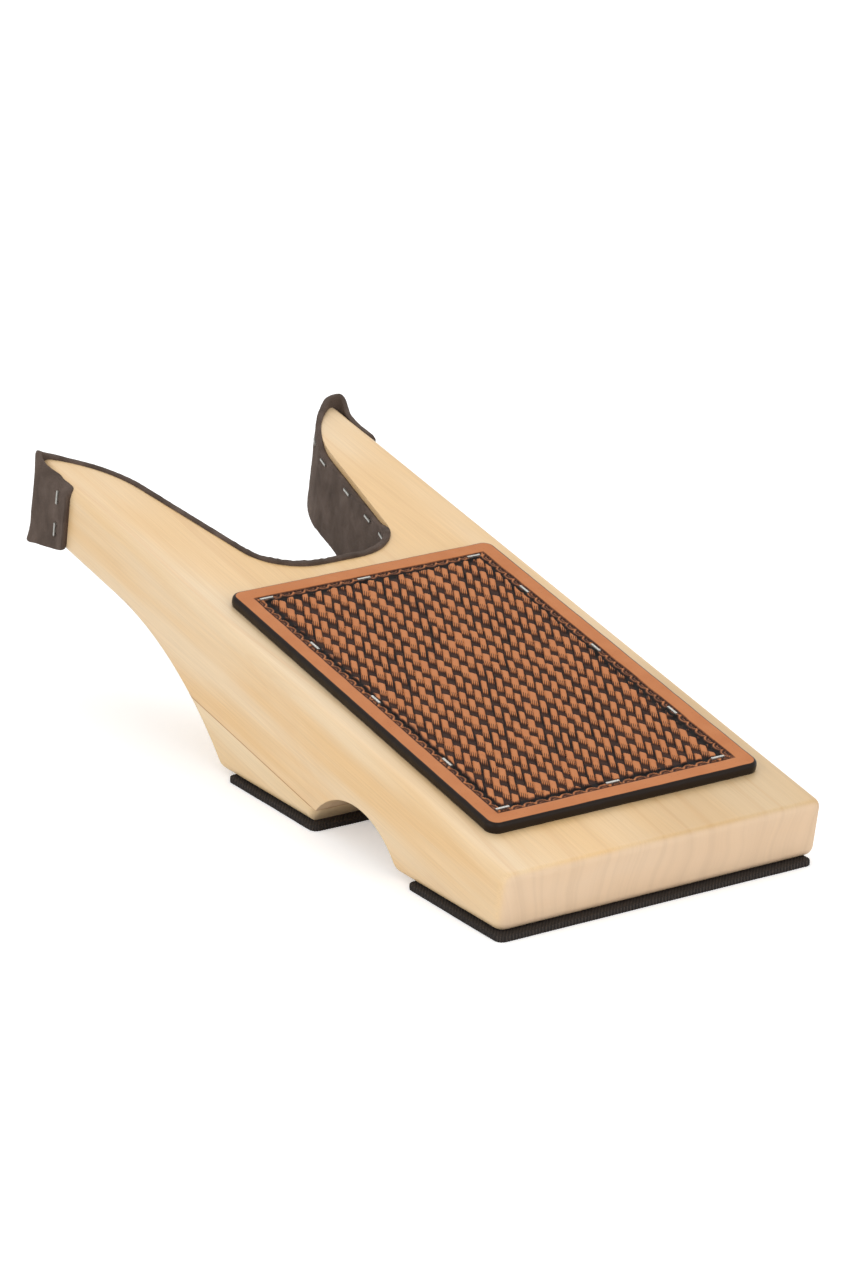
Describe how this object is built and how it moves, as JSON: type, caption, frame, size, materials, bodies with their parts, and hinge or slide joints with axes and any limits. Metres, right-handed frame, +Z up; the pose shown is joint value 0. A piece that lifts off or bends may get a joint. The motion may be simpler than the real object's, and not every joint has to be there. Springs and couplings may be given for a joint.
{
  "type": "boot jack",
  "caption": "Sloping wooden boot jack with a suede-lined heel jaw, a stapled tooled-leather tread, a glued riser and rubber foot pads.",
  "frame": {"origin": "under the middle of the whole jack's bounding box, on the floor plane that the foot pads stand on", "axes": "+X to the right, +Y from the tail that the free foot stands on towards the fork, +Z up"},
  "size_m": [0.1384, 0.3262, 0.087],
  "materials": {
    "board_wood": "clear satin lacquer over pale softwood",
    "riser_wood": "clear satin lacquer over paler softwood",
    "tooled_leather": "tooled and antiqued, black burnished edge",
    "suede": "dark napped suede",
    "foot_rubber": "matt, finely ribbed",
    "staple_wire": "bright drawn wire"
  },
  "bodies": {
    "root": {"top_board": "board_wood", "riser_block": "riser_wood", "tread_leather": "tooled_leather", "jaw_lining": "suede", "tail_foot_pad": "foot_rubber", "riser_foot_pad": "foot_rubber", "tread_staples_head": "staple_wire", "tread_staples_tail": "staple_wire", "tread_staples_left": "staple_wire", "tread_staples_right": "staple_wire", "jaw_staples_left": "staple_wire", "jaw_staples_right": "staple_wire", "flap_staples_left": "staple_wire", "flap_staples_right": "staple_wire"}
  },
  "joints": []
}
